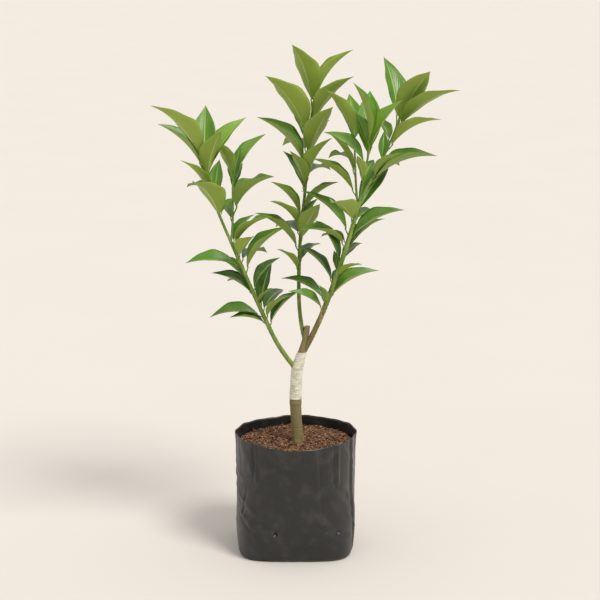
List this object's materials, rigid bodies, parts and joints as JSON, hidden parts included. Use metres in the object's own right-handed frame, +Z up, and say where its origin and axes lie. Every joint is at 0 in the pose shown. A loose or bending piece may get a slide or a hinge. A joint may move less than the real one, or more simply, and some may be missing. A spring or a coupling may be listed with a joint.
{
  "type": "potted citrus tree",
  "caption": "Young grafted sweet lime tree with open upright crown of folded leaves, taped trunk and pruned leader, rooted in potting mix in a soft black grow bag.",
  "frame": {"origin": "centre of the grow bag's flat underside", "axes": "+Z up along the tree, -Y towards the viewer of the picture, -X to the picture's left"},
  "size_m": [0.369, 0.2071, 0.6542],
  "materials": {
    "film": "semi-gloss black polythene film",
    "mix": "rough reddish-brown coir chips",
    "bark": "matte olive-brown bark",
    "tape": "milky stretched film",
    "green_bark": "satin green bark",
    "leaf": "satin to glossy leaf"
  },
  "bodies": {
    "root": {"grow_bag": "film", "potting_mix": "mix", "trunk": "bark", "graft_tape": "tape", "left_bough": "green_bark", "middle_bough": "green_bark", "right_bough": "green_bark", "left_lower_shoot": "leaf", "left_outer_shoot": "leaf", "left_inner_shoot": "leaf", "middle_lower_shoot": "leaf", "middle_upper_shoot": "leaf", "right_lower_shoot": "leaf", "right_outer_shoot": "leaf", "right_centre_shoot": "leaf", "right_inner_shoot": "leaf"}
  },
  "joints": []
}
